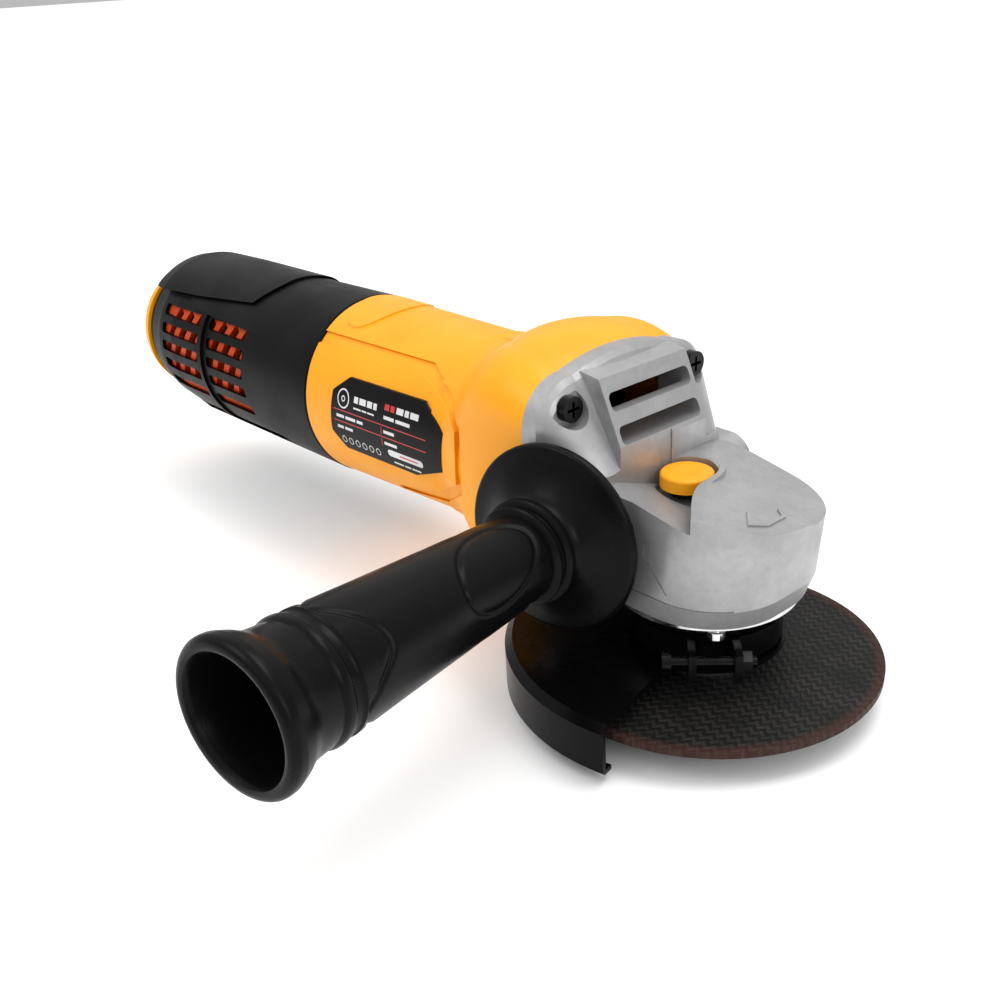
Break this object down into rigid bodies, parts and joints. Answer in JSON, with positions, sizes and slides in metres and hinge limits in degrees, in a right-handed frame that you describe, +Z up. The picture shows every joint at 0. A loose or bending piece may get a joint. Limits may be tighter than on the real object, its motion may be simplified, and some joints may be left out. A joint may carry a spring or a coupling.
{
  "type": "angle grinder",
  "caption": "Hand-held angle grinder with a thin disc, half guard, side handle, gear head, motor housing and rear grip.",
  "frame": {"origin": "centre of the spindle's threaded end face", "axes": "+Z up the spindle, +X from the rear grip towards the gear head, the side handle points to -Y"},
  "size_m": [0.3374, 0.2048, 0.0984],
  "materials": {
    "case_alu": "matt cast",
    "housing_yellow": "satin moulded",
    "cover_black": "satin moulded",
    "grip_black": "satin moulded",
    "guard_black": "satin black paint",
    "disc_black": "bonded abrasive with glass mesh",
    "steel_bright": "polished",
    "steel_dark": "black oxide",
    "steel_plain": "machined",
    "button_orange": "satin moulded",
    "iron_core": "laminated",
    "winding": "varnished",
    "commutator_metal": "turned",
    "fan_plastic": "moulded",
    "inner_plastic": "moulded",
    "rubber_black": "matt",
    "carbon": "graphite",
    "label_print": "printed plate"
  },
  "bodies": {
    "body": {"gear_case": "case_alu", "bearing_cap": "steel_bright", "cap_screws": "steel_bright", "case_screws": "steel_dark", "lower_bearing": "steel_plain", "upper_bush": "commutator_metal", "dust_seal": "rubber_black", "lock_spring": "steel_dark", "handle_grip": "grip_black", "handle_stud": "steel_plain", "motor_housing": "housing_yellow", "label_plate": "label_print", "air_baffle": "inner_plastic", "front_bearing": "steel_plain", "rear_bearing": "steel_plain", "bearing_sleeve": "rubber_black", "stator_core": "iron_core", "field_coils": "winding", "bearing_bridge": "inner_plastic", "brush_holders": "commutator_metal", "carbon_brushes": "carbon", "brush_springs": "steel_plain", "switch_housing": "button_orange", "rear_end_cap": "button_orange", "cord_gland": "rubber_black", "rear_cover": "cover_black", "cover_screws": "steel_dark", "switch_block": "inner_plastic", "cord_clamp": "inner_plastic"},
    "spindle": {"spindle": "steel_plain", "spindle_key": "steel_plain", "bevel_gear": "steel_plain", "inner_flange": "steel_plain", "flange_nut": "steel_dark", "grinding_disc": "disc_black"},
    "armature": {"armature_shaft": "steel_plain", "armature_core": "iron_core", "armature_windings": "winding", "commutator": "commutator_metal", "fan": "fan_plastic", "pinion": "steel_plain"},
    "guard": {"guard": "guard_black", "guard_band": "guard_black", "clamp_screw": "steel_dark", "clamp_nut": "steel_dark"},
    "lock_button": {"lock_button": "button_orange", "lock_pin": "steel_plain"},
    "switch_slider": {"switch_slider": "cover_black", "switch_rod": "inner_plastic", "switch_lever": "inner_plastic"}
  },
  "joints": [
    {"name": "spindle_spin", "type": "hinge", "parent": "body", "child": "spindle", "pos_m": [0, 0, 0], "axis": [0, 0, 1], "continuous": true},
    {"name": "armature_spin", "type": "hinge", "parent": "body", "child": "armature", "pos_m": [0, 0, 0.059], "axis": [1, 0, 0], "continuous": true},
    {"name": "guard_swivel", "type": "hinge", "parent": "body", "child": "guard", "pos_m": [0, 0, 0], "axis": [0, 0, 1], "range_deg": [-60, 60]},
    {"name": "lock_press", "type": "slide", "parent": "body", "child": "lock_button", "axis": [0, 0, -1], "range_m": [0, 0.0032], "stiffness_N_per_m": 800, "springref_m": -0.001, "deforming": ["lock_spring"]},
    {"name": "switch_slide", "type": "slide", "parent": "body", "child": "switch_slider", "axis": [1, 0, 0], "range_m": [0, 0.006]}
  ],
  "couplings": [
    {"joint": "armature_spin", "follows": "spindle_spin", "ratio": -3.4167}
  ]
}
